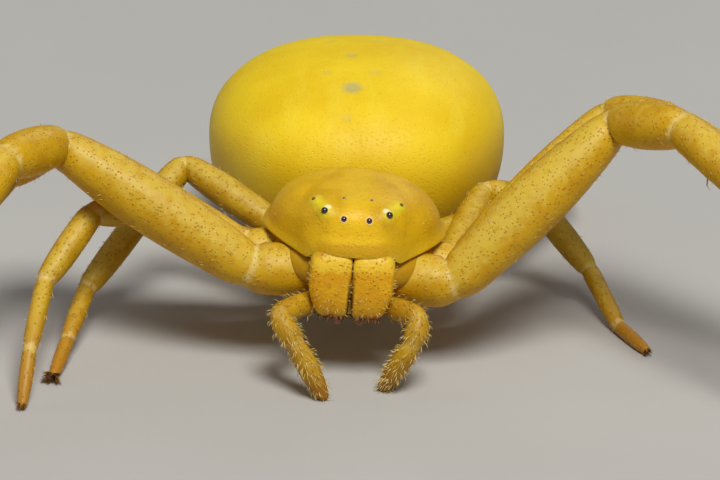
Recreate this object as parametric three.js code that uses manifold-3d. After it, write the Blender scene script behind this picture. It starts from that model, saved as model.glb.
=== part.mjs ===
// A crab spider, life size, standing still on the floor with its long front legs spread.
// Millimetres, +Z up, the spider faces -Y, and its right side as seen from the front is +X.

import * as THREE from "three";
import { mergeVertices } from "three/addons/utils/BufferGeometryUtils.js";
import Module from "manifold-3d";

const wasm = await Module();
wasm.setup();
const { Manifold, Mesh: SolidMesh } = wasm;

// Driving dimensions of the body
const BODY_ROLL = 2.5; // degrees, the body leans to its +X side
const ROLL_HEIGHT = 1.85; // height of the line that the body leans about
const GAP = 0.25; // between pieces that touch
const EYE_GAP = 0.05; // between an eye and its socket

const CARAPACE = {
  front: 0.0,
  length: 3.68,
  headHalfWidth: 1.1,
  halfWidth: 1.72,
  middle: 2.07, // height of the widest level
  dome: 1.53, // from the widest level up to the crown
  skirt: 0.5,
  rim: 2.38, // height of the underside
  faceRise: 10, // degrees, slope of the underside in front, up to the face's lower edge
  faceStart: 1.6, // where that slope leaves the level underside
  headPower: 3.2, // squareness across at the head, farther back, and of the brow from the side
  power: 2.2,
  browPower: 6,
};
const STERNUM = { centre: [0, 2.0, 1.6], half: [1.0, 1.5, 0.75], top: 2.08 };
const ABDOMEN = {
  front: 4.05,
  length: 5.9,
  halfWidth: 2.97,
  middle: 2.27, // height of the widest level
  rise: 1.8,
  drop: 2.34,
  roll: -2, // degrees, its own turn about its long axis
  power: 2.3,
};
const PEDICEL = { radius: 0.27, height: 1.98, from: 3.3, to: 4.4 };
const SPINNERETS = {
  count: 6,
  centre: [0, 9.45, 1.45],
  spread: 0.26,
  radii: [0.2, 0.18, 0.1],
  length: 0.75,
  closing: 0.4, // how far apart the tips are, as a share of the roots
  droop: 0.12,
  hub: 0.34, // radius of the ball that joins their roots
};
const CHELICERA = { half: [0.39, 0.44, 0.68], centre: [0.4, 0.22, 1.98], lean: 5, taper: 0.16 };
const FANG = { from: [0.335, 0.22, 1.45], to: [0.265, 0.34, 1.13], radii: [0.13, 0.1, 0.045] };
const TIP_HEIGHT = 0.1; // centre of each foot's tip, so that the floor cuts a small flat

// Eyes on the right side: across, along, height, radius and the radius of the mound, whose
// middle lies farther in, back and down
const MOUND = { in: 0.97, back: 0.55, down: 0.3 };
const EYES = {
  front_middle: { at: [0.24, 0.04, 3.3], radius: 0.085, mound: 0.15 },
  front_side: { at: [0.59, 0.15, 3.36], radius: 0.095, mound: 0.2 },
  rear_middle: { at: [0.26, 0.42, 3.55], radius: 0.08, mound: 0.13 },
  rear_side: { at: [0.83, 0.53, 3.411], radius: 0.09, mound: 0.18 },
};

// Each pair of legs: where the femur is hung, where the coxa starts, segment lengths and radii
const LEG_PAIRS = {
  1: {
    root: [1.95, 0.75, 1.9],
    inner: [0.75, 0.95, 1.88],
    lengths: [4.35, 1.9, 3.1, 2.8, 1.55],
    coxa: [0.48, 0.49],
    femur: [0.4, 0.58, 0.37],
    patella: [0.38, 0.46, 0.4],
    tibia: [0.38, 0.42, 0.33],
    foot: [0.3, 0.27, 0.25, 0.13],
  },
  2: {
    root: [2.12, 1.6, 1.9],
    inner: [0.85, 1.7, 1.93],
    lengths: [4.2, 1.85, 3.0, 2.7, 1.5],
    coxa: [0.42, 0.44],
    femur: [0.36, 0.5, 0.34],
    patella: [0.37, 0.44, 0.38],
    tibia: [0.36, 0.4, 0.32],
    foot: [0.29, 0.26, 0.25, 0.13],
  },
  3: {
    root: [1.9, 2.55, 1.65],
    inner: [0.85, 2.4, 1.85],
    lengths: [2.45, 1.0, 1.75, 1.6, 1.1],
    coxa: [0.36, 0.34],
    femur: [0.28, 0.33, 0.26],
    patella: [0.26, 0.3, 0.27],
    tibia: [0.26, 0.29, 0.25],
    foot: [0.25, 0.25, 0.25, 0.12],
  },
  4: {
    root: [1.5, 3.2, 1.8],
    inner: [0.7, 2.95, 1.85],
    lengths: [2.25, 1.15, 2.15, 1.5, 1.05],
    coxa: [0.34, 0.32],
    femur: [0.28, 0.33, 0.26],
    patella: [0.26, 0.3, 0.27],
    tibia: [0.26, 0.29, 0.25],
    foot: [0.25, 0.25, 0.25, 0.12],
  },
};

// The pose: azimuth, forward from straight out to the side, and elevation, in degrees, of the
// femur, patella, tibia and metatarsus. The tarsus has an azimuth and drops to the floor.
const POSE = {
  left: {
    1: [[-9, 30], [62, 9], [62, -25], [68, -45], [70]],
    2: [[-13, 24], [66, 3], [55, -22], [60, -40], [60]],
    3: [[9, 17], [38, 14], [55, -34], [82, -31], [84]],
    4: [[-28, 22], [49, -32], [50, -35], [79, -18], [79]],
  },
  right: {
    1: [[-20, 43], [50, 15], [47, -18], [50, -74], [50]],
    2: [[-34, 37], [50, 12], [35, -18], [45, -58], [45]],
    3: [[-74, 12], [5, -6], [26, -44], [67, -23], [64]],
    4: [[-52, -7], [-55, 7], [-66, -1], [-92, -33], [-92]],
  },
};

// The feelers' joints on the right side of the picture and on the left, from root to tip
const FEELERS = {
  left: [[-0.7, 0.4, 1.52], [-1.38, -0.35, 1.52], [-1.0, -0.6, 1.02], [-0.46, -0.83, 0.1]],
  right: [[0.72, 0.4, 1.46], [1.34, -0.25, 1.5], [1.2, -0.46, 1.02], [0.69, -0.31, 0.1]],
  radii: [0.25, 0.27, 0.26, 0.25, 0.14],
};

// Colours, all of them yellows of one animal
const FINISH = {
  leg: { color: 0xdcae1c, roughness: 0.4 },
  foot: { color: 0xc98a1f, roughness: 0.45 },
  carapace: { color: 0xdba514, roughness: 0.42 },
  chelicera: { color: 0xe2ab1c, roughness: 0.38 },
  abdomen: { color: 0xe8c80f, roughness: 0.55 },
  eye: { color: 0x150d07, roughness: 0.12 },
};

const UP = new THREE.Vector3(0, 1, 0);
const group = new THREE.Group();

// A closed geometry as a solid that can be cut and joined
function solid(geometry) {
  const bare = geometry.clone();
  bare.deleteAttribute("normal");
  bare.deleteAttribute("uv");
  const merged = mergeVertices(bare, 1e-5);
  const corners = merged.index.array;
  const kept = [];
  for (let i = 0; i < corners.length; i += 3) {
    const [a, b, c] = corners.slice(i, i + 3);
    if (a !== b && b !== c && c !== a) kept.push(a, b, c);
  }
  const vertProperties = merged.attributes.position.array;
  return new Manifold(new SolidMesh({ numProp: 3, vertProperties, triVerts: new Uint32Array(kept) }));
}

// A geometry grown outwards along its normals, to cut room for a gap
function grown(geometry, by) {
  const bare = geometry.clone();
  bare.deleteAttribute("normal");
  bare.deleteAttribute("uv");
  const merged = mergeVertices(bare, 1e-5);
  merged.computeVertexNormals();
  const { position, normal } = merged.attributes;
  for (let i = 0; i < position.count; i++) {
    const x = position.getX(i) + by * normal.getX(i);
    const y = position.getY(i) + by * normal.getY(i);
    const z = position.getZ(i) + by * normal.getZ(i);
    position.setXYZ(i, x, y, z);
  }
  return merged;
}

// The largest closed surface of a solid
function largest(body) {
  const pieces = body.decompose();
  return pieces.reduce((best, piece) => (piece.volume() > best.volume() ? piece : best));
}

// The solid kept on the side of a plane that its normal points to
function keepBeyond(body, point, normal, gap = 0) {
  const n = normal.clone().normalize();
  return body.trimByPlane(n.toArray(), n.dot(point) + gap);
}

function above(body, height) {
  return body.trimByPlane([0, 0, 1], height);
}

function below(body, height) {
  return body.trimByPlane([0, 0, -1], -height);
}

// A finished solid as a named mesh in the group
function addNode(name, body, finish) {
  const mesh = largest(body).getMesh();
  const geometry = new THREE.BufferGeometry();
  geometry.setAttribute("position", new THREE.BufferAttribute(mesh.vertProperties, 3));
  geometry.setIndex(new THREE.BufferAttribute(mesh.triVerts, 1));
  geometry.computeVertexNormals();
  const node = new THREE.Mesh(geometry, new THREE.MeshStandardMaterial({ metalness: 0, ...finish }));
  node.name = name;
  group.add(node);
}

// The body leans a little: a point of the level body where it really is
const lean = new THREE.Matrix4()
  .makeTranslation(0, 0, ROLL_HEIGHT)
  .multiply(new THREE.Matrix4().makeRotationY(THREE.MathUtils.degToRad(BODY_ROLL)))
  .multiply(new THREE.Matrix4().makeTranslation(0, 0, -ROLL_HEIGHT));

function leaned(x, y, z) {
  return new THREE.Vector3(x, y, z).applyMatrix4(lean);
}

// A point of the level abdomen where it really is
const roll = new THREE.Matrix4()
  .makeTranslation(0, 0, ABDOMEN.middle)
  .multiply(new THREE.Matrix4().makeRotationY(THREE.MathUtils.degToRad(ABDOMEN.roll)))
  .multiply(new THREE.Matrix4().makeTranslation(0, 0, -ABDOMEN.middle));

function rolled(x, y, z) {
  return new THREE.Vector3(x, y, z).applyMatrix4(roll);
}

// A rounded limb between two points, its radius running through the given values
function limb(from, to, radii, sides = 10, steps = 5) {
  const length = from.distanceTo(to);
  const thickness = new THREE.SplineCurve(
    radii.map((radius, i) => new THREE.Vector2(i / (radii.length - 1), radius)),
  );
  const capSteps = 3;
  const profile = [];
  for (let i = 0; i <= capSteps; i++) {
    const angle = (-Math.PI / 2) * (1 - i / capSteps);
    profile.push(new THREE.Vector2(radii[0] * Math.cos(angle), radii[0] * Math.sin(angle)));
  }
  for (let i = 1; i < steps; i++) {
    const along = i / steps;
    profile.push(new THREE.Vector2(thickness.getPoint(along).y, along * length));
  }
  const last = radii.at(-1);
  for (let i = 0; i <= capSteps; i++) {
    const angle = (Math.PI / 2) * (i / capSteps);
    profile.push(new THREE.Vector2(last * Math.cos(angle), length + last * Math.sin(angle)));
  }
  profile[0].x = 0;
  profile.at(-1).x = 0;
  const direction = to.clone().sub(from).normalize();
  const turn = new THREE.Quaternion().setFromUnitVectors(UP, direction);
  const geometry = new THREE.LatheGeometry(profile, sides);
  return geometry.applyMatrix4(new THREE.Matrix4().compose(from, turn, new THREE.Vector3(1, 1, 1)));
}

// A sphere whose rings run front to back, each ring and its height worked out by a function
function rounded(across, along, place) {
  const geometry = new THREE.SphereGeometry(1, across, along);
  const { position } = geometry.attributes;
  for (let i = 0; i < position.count; i++) {
    const [x, y, z] = [position.getX(i), position.getY(i), position.getZ(i)];
    position.setXYZ(i, ...place(x, y, z).toArray());
  }
  return geometry;
}

// A unit ball's point moved out to a squarer ball. Seen from the side, the outline can have a
// power of its own.
function squared(x, y, z, power, sidePower = power) {
  const side = (Math.abs(y) ** sidePower + Math.abs(z) ** sidePower) ** (power / sidePower);
  const reach = Math.abs(x) ** power + side;
  return new THREE.Vector3(x, y, z).multiplyScalar(reach ** (-1 / power));
}

function smoothStep(value, from, to) {
  return THREE.MathUtils.smoothstep(value, from, to);
}

function ball(centre, radius, across = 10, along = 7) {
  return new THREE.SphereGeometry(radius, across, along).translate(...centre.toArray());
}

// The carapace: narrow and steep at the head, wide at the legs, sloping down behind
function carapaceForm() {
  const c = CARAPACE;
  return rounded(22, 18, (x, y, z) => {
    const power = THREE.MathUtils.lerp(c.headPower, c.power, smoothStep(y, -0.5, 0.4));
    const brow = z > 0 ? THREE.MathUtils.lerp(c.browPower, power, smoothStep(y, -0.5, 0)) : power;
    const p = squared(x, y, z, power, brow);
    const along = (p.y + 1) / 2;
    const width = THREE.MathUtils.lerp(c.headHalfWidth, c.halfWidth, smoothStep(along, 0.0, 0.5));
    const dome = c.dome * (1 - 0.22 * smoothStep(along, 0.5, 1));
    const height = c.middle + (p.z > 0 ? dome : c.skirt) * p.z;
    return leaned(width * p.x, c.front + c.length * along, height);
  });
}

function sternumForm() {
  const { centre, half } = STERNUM;
  return rounded(16, 10, (x, y, z) => {
    const p = squared(x, y, z, 2.6);
    return leaned(centre[0] + half[0] * p.x, centre[1] + half[1] * p.y, centre[2] + half[2] * p.z);
  });
}

// The abdomen: broad and a little flattened, widest behind its middle
function abdomenForm() {
  const a = ABDOMEN;
  return rounded(28, 20, (x, y, z) => {
    const p = squared(x, y, z, a.power);
    const along = (p.y + 1) / 2;
    const width = a.halfWidth * (0.93 + 0.07 * smoothStep(along, 0.1, 0.6));
    const height = a.middle + (p.z > 0 ? a.rise : a.drop) * p.z;
    return rolled(width * p.x, a.front + a.length * along, height);
  });
}

function cheliceraForm(side) {
  const { half, centre, taper: narrowing, lean: tilt } = CHELICERA;
  const turn = new THREE.Euler(0, THREE.MathUtils.degToRad(side * tilt), 0);
  return rounded(12, 10, (x, y, z) => {
    const p = squared(x, y, z, 2.7);
    const taper = 1 - narrowing * smoothStep(-p.z, 0, 1);
    const local = new THREE.Vector3(half[0] * taper * p.x, half[1] * taper * p.y, half[2] * p.z);
    local.applyEuler(turn);
    return leaned(side * centre[0] + local.x, centre[1] + local.y, centre[2] + local.z);
  });
}

// The joints of one leg, from the femur's root to the tip on the floor
function legJoints(side, pair) {
  const { root, lengths } = LEG_PAIRS[pair];
  const sign = side === "right" ? 1 : -1;
  const joints = [leaned(sign * root[0], root[1], root[2])];
  POSE[side][pair].forEach(([azimuth, elevation], i) => {
    const from = joints.at(-1);
    const a = THREE.MathUtils.degToRad(azimuth);
    const drop = Math.asin((TIP_HEIGHT - from.z) / lengths[i]);
    const e = elevation === undefined ? drop : THREE.MathUtils.degToRad(elevation);
    const step = new THREE.Vector3(sign * Math.cos(e) * Math.cos(a), -Math.cos(e) * Math.sin(a), Math.sin(e));
    joints.push(step.multiplyScalar(lengths[i]).add(from));
  });
  return joints;
}

// A limb's ends cut square to the bends at its joints, half a gap back from each
function cutAtBends(body, before, from, to, after) {
  const own = to.clone().sub(from).normalize();
  let cut = body;
  if (before) {
    const bend = from.clone().sub(before).normalize().add(own);
    cut = keepBeyond(cut, from, bend, GAP / 2);
  }
  if (after) {
    const bend = after.clone().sub(to).normalize().add(own);
    cut = keepBeyond(cut, to, bend.negate(), GAP / 2);
  }
  return cut;
}

const carapace = carapaceForm();
const sternum = sternumForm();
const abdomen = abdomenForm();
const carapaceRoom = solid(grown(carapace, GAP));
const sternumRoom = solid(grown(sternum, GAP));
const abdomenRoom = solid(grown(abdomen, GAP));
const faceSlope = THREE.MathUtils.degToRad(CARAPACE.faceRise);
const faceNormal = new THREE.Vector3(0, Math.sin(faceSlope), Math.cos(faceSlope));
const faceStart = leaned(0, CARAPACE.faceStart, CARAPACE.rim);
const carapaceBody = keepBeyond(above(solid(carapace), CARAPACE.rim), faceStart, faceNormal);
const carapaceCutter = keepBeyond(above(carapaceRoom, CARAPACE.rim - GAP), faceStart, faceNormal, -GAP);

// The narrow waist, whose ends sit in pockets of the carapace and of the abdomen
const waist = limb(
  leaned(0, PEDICEL.from, PEDICEL.height),
  leaned(0, PEDICEL.to, PEDICEL.height),
  [PEDICEL.radius, PEDICEL.radius, PEDICEL.radius],
  10,
  2,
);
const waistRoom = solid(grown(waist, GAP));

// Eyes on low mounds of the head, which makes room for the chelicerae below
const cheliceraForms = { left: cheliceraForm(-1), right: cheliceraForm(1) };
const cheliceraRooms = Object.values(cheliceraForms).map((form) => solid(grown(form, GAP)));
const eyes = [];
let head = carapaceBody.subtract(cheliceraRooms[0]).subtract(cheliceraRooms[1]).subtract(waistRoom);
for (const [side, sign] of [["left", -1], ["right", 1]]) {
  for (const [name, { at, radius, mound }] of Object.entries(EYES)) {
    const centre = leaned(sign * at[0], at[1], at[2]);
    const [x, y, z] = [at[0] * MOUND.in, at[1] + MOUND.back * mound, at[2] - MOUND.down * mound];
    const behind = leaned(sign * x, y, z);
    head = head.add(solid(ball(behind, mound, 10, 7)));
    eyes.push({ name: `eye_${name}_${side}`, centre, radius });
  }
}
for (const { centre, radius } of eyes) {
  head = head.subtract(solid(ball(centre, radius + EYE_GAP, 8, 6)));
}
addNode("carapace", head, FINISH.carapace);
for (const { name, centre, radius } of eyes) {
  addNode(name, solid(ball(centre, radius, 8, 6)), FINISH.eye);
}

addNode("sternum", below(solid(sternum), STERNUM.top).subtract(waistRoom), FINISH.carapace);
addNode("abdomen", above(solid(abdomen), 0).subtract(waistRoom), FINISH.abdomen);
addNode("pedicel", solid(waist), FINISH.carapace);


// Six short spinnerets in a ring, fused at their roots
function spinnerets() {
  const { count, centre, spread, radii, length, closing, droop, hub } = SPINNERETS;
  let cluster = solid(ball(rolled(...centre), hub, 10, 6));
  for (let i = 0; i < count; i++) {
    const angle = (i / count) * 2 * Math.PI;
    const [x, z] = [spread * Math.cos(angle), spread * Math.sin(angle)];
    const from = rolled(centre[0] + x, centre[1], centre[2] + z);
    const to = rolled(centre[0] + closing * x, centre[1] + length, centre[2] + closing * z - droop);
    cluster = cluster.add(solid(limb(from, to, radii, 6, 2)));
  }
  return cluster;
}
addNode("spinnerets", spinnerets().subtract(abdomenRoom), FINISH.carapace);

// Chelicerae with the tips of their fangs folded under
for (const [side, sign] of [["left", -1], ["right", 1]]) {
  const [from, to] = [FANG.from, FANG.to].map(([x, y, z]) => leaned(sign * x, y, z));
  const fang = limb(from, to, FANG.radii, 8, 3);
  const middle = leaned(sign * (GAP / 2), 0, 0);
  const outwards = leaned(sign, 0, 0).sub(leaned(0, 0, 0));
  const body = keepBeyond(solid(cheliceraForms[side]).add(solid(fang)), middle, outwards);
  addNode(`chelicera_${side}`, body.subtract(sternumRoom), FINISH.chelicera);
}

// Legs, from the coxa under the carapace to the foot. Each is cut clear of the body and of the
// legs made before it, so that neighbours that lie against each other keep the gap.
const bodyRoom = carapaceCutter
  .add(sternumRoom)
  .add(abdomenRoom)
  .add(cheliceraRooms[0])
  .add(cheliceraRooms[1]);
let taken = bodyRoom;
for (const [side, sign] of [["left", -1], ["right", 1]]) {
  for (const [pair, sizes] of Object.entries(LEG_PAIRS)) {
    const joints = legJoints(side, pair);
    const inner = leaned(sign * sizes.inner[0], sizes.inner[1], sizes.inner[2]);
    const spots = [inner, ...joints];
    const rooms = [];
    for (const [i, part] of ["coxa", "femur", "patella", "tibia"].entries()) {
      const form = limb(spots[i], spots[i + 1], sizes[part], 10, part === "femur" ? 7 : 4);
      const cut = cutAtBends(solid(form), spots[i - 1], spots[i], spots[i + 1], spots[i + 2]);
      addNode(`leg_${side}_${pair}_${part}`, cut.subtract(taken), FINISH.leg);
      rooms.push(solid(grown(form, GAP)));
    }
    const [a, b, c, d] = sizes.foot;
    const metatarsus = limb(joints[3], joints[4], [a, b, c], 10, 3);
    const tarsus = limb(joints[4], joints[5], [c, c * 0.9, d], 10, 4);
    const foot = cutAtBends(solid(metatarsus).add(solid(tarsus)), joints[2], joints[3], joints[4], null);
    addNode(`leg_${side}_${pair}_foot`, above(foot, 0).subtract(taken), FINISH.foot);
    rooms.push(solid(grown(metatarsus, GAP)), solid(grown(tarsus, GAP)));
    taken = rooms.reduce((all, room) => all.add(room), taken);
  }
}

// Feelers beside the chelicerae, two lengths each, their tips on the floor
for (const side of ["left", "right"]) {
  const [root, elbow, wrist, tip] = FEELERS[side].map((spot) => new THREE.Vector3(...spot));
  const [a, b, c, d, e] = FEELERS.radii;
  const upper = solid(limb(root, elbow, [a, b, b], 10, 3));
  const lower = solid(limb(elbow, wrist, [b, c, d], 10, 3)).add(solid(limb(wrist, tip, [d, d, e], 10, 4)));
  const upperBody = cutAtBends(upper, null, root, elbow, wrist);
  addNode(`feeler_${side}_upper`, upperBody.subtract(taken), FINISH.leg);
  const lowerBody = cutAtBends(lower, root, elbow, wrist, null);
  addNode(`feeler_${side}_lower`, above(lowerBody, 0), FINISH.foot);
}

// The frame's origin is under the middle of the whole spider, on the floor
group.updateMatrixWorld(true);
const extent = new THREE.Box3().setFromObject(group);
const middle = extent.getCenter(new THREE.Vector3());
group.position.set(-middle.x, -middle.y, 0);

export default group;
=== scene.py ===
# %% [markdown]
# # A crab spider at life size
# This lesson dresses a life-size model of a yellow crab spider, ten millimetres long, that
# stands with its front legs spread. A real spider is a hard domed carapace, a soft round abdomen
# and eight legs of thin hard tubes, joined by pale skin where they bend. The solids that carry
# the model are already made, so each step here shapes one part of the body more finely round the
# same sizes, and gives it a finish made of nodes.

# %% Load the frame
import math
import bmesh
import bpy
import numpy as np
from mathutils import Matrix, Vector
from mathutils.bvhtree import BVHTree


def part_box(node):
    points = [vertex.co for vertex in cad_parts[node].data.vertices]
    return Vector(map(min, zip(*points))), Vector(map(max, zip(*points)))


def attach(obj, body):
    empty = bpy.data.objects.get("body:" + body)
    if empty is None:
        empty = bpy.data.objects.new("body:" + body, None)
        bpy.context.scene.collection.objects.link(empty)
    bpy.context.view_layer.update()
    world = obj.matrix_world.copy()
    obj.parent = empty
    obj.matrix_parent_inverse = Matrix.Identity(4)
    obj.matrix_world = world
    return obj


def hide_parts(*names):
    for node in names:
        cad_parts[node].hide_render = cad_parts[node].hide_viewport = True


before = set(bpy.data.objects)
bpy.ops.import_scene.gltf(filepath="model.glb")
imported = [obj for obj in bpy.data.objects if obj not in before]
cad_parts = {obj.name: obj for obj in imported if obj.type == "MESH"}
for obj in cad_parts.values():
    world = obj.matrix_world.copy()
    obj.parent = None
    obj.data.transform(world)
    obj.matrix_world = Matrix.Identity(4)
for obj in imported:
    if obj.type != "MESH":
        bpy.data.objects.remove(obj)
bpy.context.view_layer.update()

# %% [markdown]
# ## Sizes
# A modeller works from a few measures. These are in millimetres, in the spider's own axes: it
# faces -Y, the floor is at Z = 0, and the face is near Y = 0. A leg is a chain of five lengths,
# and its pose is one direction for each length, so a leg can be posed without drawing it again.

# %% Sizes of the body
BODY_ROLL = math.radians(2.5)  # the body leans to its +X side
ROLL_HEIGHT = 1.85
TIP_HEIGHT = 0.1

CARAPACE = {"front": 0.0, "length": 3.68, "head": 1.1, "half": 1.72, "middle": 2.07, "dome": 1.53,
            "rear_drop": 0.22, "skirt": 0.5, "rim_face": 2.62, "rim_corner": 2.43, "rim_side": 2.46,
            "head_power": 3.2, "power": 2.2, "brow_power": 6}
STERNUM = {"centre": (0, 2.0, 1.6), "half": (1.0, 1.5, 0.8), "narrowing": 0.18, "power": 2.6}
FLANKS = {"centre": (0, 1.78, 2.12), "half": (1.56, 1.68, 0.5), "narrowing": 0, "power": 2.6}
ABDOMEN = {"front": 4.05, "length": 5.9, "half": 2.97, "shoulder": 0.93, "middle": 2.27, "rise": 1.8,
           "drop": 2.34, "roll": math.radians(-2), "power": 2.3}
PEDICEL = {"height": 1.98, "from": 3.3, "to": 4.4, "radius": 0.27, "swelling": (1.05, 0.88, 1.05)}
SPINNERETS = {"count": 6, "centre": (0, 9.45, 1.45), "spread": 0.26, "radii": (0.2, 0.18, 0.1),
              "length": 0.75, "closing": 0.4, "droop": 0.12}
CHELICERA = {"half": (0.43, 0.44, 0.71), "centre": (0.38, 0.22, 2.01), "taper": 0.16, "power": 5,
             "side_power": 2.8}

# Each eye: where it sits, the radius that shows, and the height and reach of its mound
EYES = {
    "front_middle": {"at": (0.24, 0.04, 3.345), "shows": 0.046, "height": 0.035, "reach": 0.11},
    "front_side": {"at": (0.59, 0.15, 3.42), "shows": 0.052, "height": 0.07, "reach": 0.13},
    "rear_middle": {"at": (0.26, 0.42, 3.6), "shows": 0.024, "height": 0.03, "reach": 0.09},
    "rear_side": {"at": (0.8, 0.53, 3.485), "shows": 0.029, "height": 0.05, "reach": 0.11},
}
SIDES = {"left": -1, "right": 1}

# %% Sizes and pose of the legs
# Radii run along each length: at its start, its middle and its end.
# The coxa has no length of its own: it reaches from the inner place to the root.
HIND_RADII = ((0.25, 0.29, 0.25), (0.25, 0.27, 0.21), (0.19, 0.18, 0.15), (0.15, 0.14, 0.1))
LEGS = {
    1: {"root": (1.95, 0.75, 1.9), "inner": (0.75, 0.95, 1.88), "lengths": (4.35, 1.9, 3.1, 2.8, 1.55),
        "radii": ((0.46, 0.52, 0.5), (0.45, 0.585, 0.36), (0.38, 0.47, 0.39), (0.38, 0.42, 0.3),
                  (0.28, 0.25, 0.2), (0.2, 0.18, 0.11))},
    2: {"root": (2.12, 1.6, 1.9), "inner": (0.85, 1.7, 1.93), "lengths": (4.2, 1.85, 3.0, 2.7, 1.5),
        "radii": ((0.42, 0.45, 0.44), (0.4, 0.5, 0.33), (0.36, 0.44, 0.37), (0.36, 0.39, 0.29),
                  (0.27, 0.24, 0.19), (0.19, 0.17, 0.11))},
    3: {"root": (1.9, 2.55, 1.65), "inner": (0.85, 2.4, 1.85), "lengths": (2.45, 1.0, 1.75, 1.6, 1.1),
        "radii": ((0.34, 0.36, 0.33), (0.28, 0.32, 0.24), *HIND_RADII)},
    4: {"root": (1.5, 3.2, 1.8), "inner": (0.7, 2.95, 1.85), "lengths": (2.25, 1.15, 2.15, 1.5, 1.05),
        "radii": ((0.32, 0.34, 0.31), (0.28, 0.33, 0.24), *HIND_RADII)},
}
LEG_NODES = ("coxa", "femur", "patella", "tibia", "foot")  # the foot is the last two lengths
FRONT_PAIRS = ("_1", "_2")  # how the names of the two front pairs end

# Azimuth, forward from straight out to the side, and elevation, in degrees. The last length has
# an azimuth only, because it drops to the floor.
POSE = {
    "left": {
        1: ((-9, 30), (62, 9), (62, -25), (68, -45), (70,)),
        2: ((-13, 24), (66, 3), (55, -22), (60, -40), (60,)),
        3: ((9, 17), (38, 14), (55, -34), (82, -31), (84,)),
        4: ((-28, 22), (49, -32), (50, -35), (79, -18), (79,)),
    },
    "right": {
        1: ((-20, 43), (50, 15), (47, -18), (50, -74), (50,)),
        2: ((-34, 37), (50, 12), (35, -18), (45, -58), (45,)),
        3: ((-74, 12), (5, -6), (26, -44), (67, -23), (64,)),
        4: ((-52, -7), (-55, 7), (-66, -1), (-92, -33), (-92,)),
    },
}
PALPS = {
    "left": ((-0.7, 0.4, 1.52), (-1.38, -0.35, 1.52), (-1.0, -0.6, 1.02), (-0.46, -0.83, 0.1)),
    "right": ((0.72, 0.4, 1.46), (1.34, -0.25, 1.5), (1.2, -0.46, 1.02), (0.69, -0.31, 0.1)),
}
PALP_RADII = ((0.2, 0.235, 0.22), (0.22, 0.235, 0.21), (0.2, 0.215, 0.12))

# %% [markdown]
# ## From the spider's axes to the frame
# The frame's origin lies under the middle of the whole animal, and it counts in metres. Every
# piece is made in the spider's own millimetres and carried over in one last step. The distance
# between the two origins is read from the frame itself: from the two front eyes and from the
# front of the abdomen.

# %% Carry points over
METRE = 0.001  # one millimetre in metres


def turned_about(height, angle):
    """A turn about a line that runs along the body at some height."""
    up = Matrix.Translation((0, 0, height))
    return up @ Matrix.Rotation(angle, 4, "Y") @ up.inverted()


LEAN = turned_about(ROLL_HEIGHT, BODY_ROLL)
ROLL = turned_about(ABDOMEN["middle"], ABDOMEN["roll"])


def leaned(x, y, z):
    """A point of the level body, where it really is."""
    return LEAN @ Vector((x, y, z))


def rolled(x, y, z):
    """A point of the level abdomen, where it really is."""
    return ROLL @ Vector((x, y, z))


eye_ends = [corner.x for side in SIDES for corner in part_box(f"eye_front_middle_{side}")]
eye_height = EYES["front_middle"]["at"][2]
shift = Vector((
    sum(eye_ends) / len(eye_ends) / METRE - leaned(0, 0, eye_height).x,
    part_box("abdomen")[0].y / METRE - ABDOMEN["front"],
    0,
))
TO_FRAME = Matrix.Scale(METRE, 4) @ Matrix.Translation(shift)
print("the spider's axes start at, in mm:", [round(value, 4) for value in shift])

# %% [markdown]
# ## Camera, floor and light
# The photograph looks down at about 22 degrees, from far off with a long lens, a little turned
# about its own axis. A camera is placed by its matrix: its columns are the direction to the
# right, the direction up and the direction backwards. The floor is one large grey sheet. Three
# soft panels light the spider: a broad one above the face, as in the photograph, and two weak
# ones that fill the shadows, one from the left and one from behind.

# %% Camera
VIEW_DOWN = math.radians(22.5)
VIEW_TURN = math.radians(2.0)
EYE_POINT = (0.142, -101.62, 45.048)  # in the spider's axes
LENS = 291.5
SENSOR = 36

ahead = Vector((0, math.cos(VIEW_DOWN), -math.sin(VIEW_DOWN)))
level_up = Vector((0, math.sin(VIEW_DOWN), math.cos(VIEW_DOWN)))
level_right = Vector((1, 0, 0))
UP = Vector((0, 0, 1))
right = math.cos(VIEW_TURN) * level_right + math.sin(VIEW_TURN) * level_up
up = math.cos(VIEW_TURN) * level_up - math.sin(VIEW_TURN) * level_right


def put(name, data):
    """A new object of the scene, which shows some data."""
    made = bpy.data.objects.new(name, data)
    bpy.context.collection.objects.link(made)
    return made


lens = bpy.data.cameras.new("camera")
lens.lens = LENS
lens.sensor_width = SENSOR
lens.clip_start = 0.001
lens.clip_end = 10
camera = put("camera", lens)
camera.matrix_world = Matrix((right, up, -ahead)).transposed().to_4x4()
camera.location = TO_FRAME @ Vector(EYE_POINT)
bpy.context.scene.camera = camera
bpy.context.scene.view_settings.view_transform = "Standard"
print("camera at, in mm:", [round(value / METRE, 1) for value in camera.location])

# %% Lights
SPIDER_MIDDLE = Vector((0, 0, 0.002))


def panel(name, place, size, power, warmth=(1, 1, 1)):
    """A soft square light, in metres, that looks at the middle of the spider."""
    light = bpy.data.lights.new(name, "AREA")
    light.shape = "SQUARE"
    light.size = size
    light.energy = power
    light.color = warmth
    holder = put(name, light)
    holder.location = place
    holder.rotation_euler = (SPIDER_MIDDLE - Vector(place)).to_track_quat("-Z", "Y").to_euler()


panel("light_over_the_face", (0.03, -0.115, 0.205), 0.085, 0.55, (1, 0.98, 0.93))
panel("light_left", (-0.26, 0.02, 0.1), 0.12, 0.07)
panel("light_behind", (0.1, 0.24, 0.16), 0.14, 0.09)

# %% [markdown]
# ## Shader maths as expressions
# A material is a small program made of nodes. Written as Python expressions it stays readable:
# a wire is one output socket, and adding or multiplying two wires adds the node that does it.
# Every other node comes from one method, which sets the node's own settings first, because some
# of them change which sockets it has.


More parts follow.
